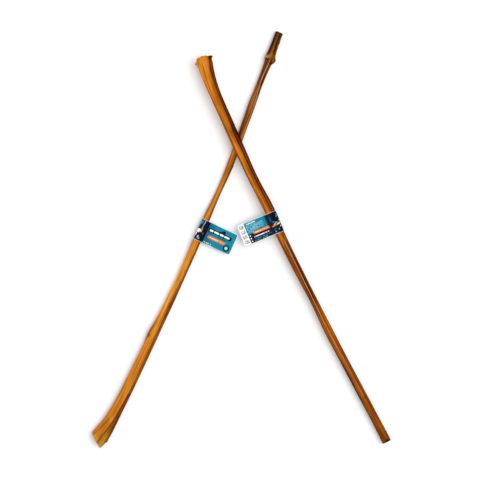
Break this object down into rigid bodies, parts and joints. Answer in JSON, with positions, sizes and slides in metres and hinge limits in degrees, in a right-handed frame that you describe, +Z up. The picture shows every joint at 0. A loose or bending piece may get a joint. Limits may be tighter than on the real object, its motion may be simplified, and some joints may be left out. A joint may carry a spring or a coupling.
{
  "type": "pair of dried chew sticks",
  "caption": "Long natural dried chew sticks laid crossed, each with a flared end, a square-cut thin end and a printed paper label folded into a flag.",
  "frame": {"origin": "on the ground, under the middle of the pair's bounding box", "axes": "+Z up off the ground; +Y along the pair's long direction, towards the lower stick's thin end and the upper stick's flared end"},
  "size_m": [0.6054, 0.842, 0.0357],
  "materials": {
    "lower_tissue": "dried amber tissue, lengthwise fibres, semi-gloss",
    "upper_tissue": "dried russet tissue, lengthwise fibres and dark grooves, semi-gloss",
    "pale_sinew": "pale dried strand, semi-matte",
    "front_print": "coated paper, abstract teal and navy print",
    "back_print": "coated paper, abstract teal, navy and white print",
    "adhesive": "thin translucent film"
  },
  "bodies": {
    "lower_stick": {"lower_stick": "lower_tissue", "lower_sinew": "pale_sinew", "lower_label_wrap": "front_print"},
    "lower_flag": {"lower_label_front_leaf": "front_print", "lower_label_back_leaf": "back_print", "lower_label_adhesive": "adhesive"},
    "upper_stick": {"upper_stick": "upper_tissue", "upper_sinew": "pale_sinew", "upper_label_wrap": "front_print"},
    "upper_flag": {"upper_label_back_leaf": "back_print", "upper_label_front_leaf": "front_print", "upper_label_adhesive": "adhesive"}
  },
  "joints": [
    {"name": "upper_stick_lift", "type": "slide", "parent": "lower_stick", "child": "upper_stick", "axis": [0, 0, 1], "range_m": [0, 0.12]},
    {"name": "lower_label_fold", "type": "hinge", "parent": "lower_stick", "child": "lower_flag", "pos_m": [-0.06987, 0.01312, 0.00841], "axis": [-0.4242, -0.9056, 0], "range_deg": [-7, 90], "stiffness_Nm_per_rad": 0.05},
    {"name": "upper_label_fold", "type": "hinge", "parent": "upper_stick", "child": "upper_flag", "pos_m": [0.05645, 0.02822, 0.01786], "axis": [-0.3826, 0.9237, 0.0194], "range_deg": [-15, 90], "stiffness_Nm_per_rad": 0.05}
  ]
}
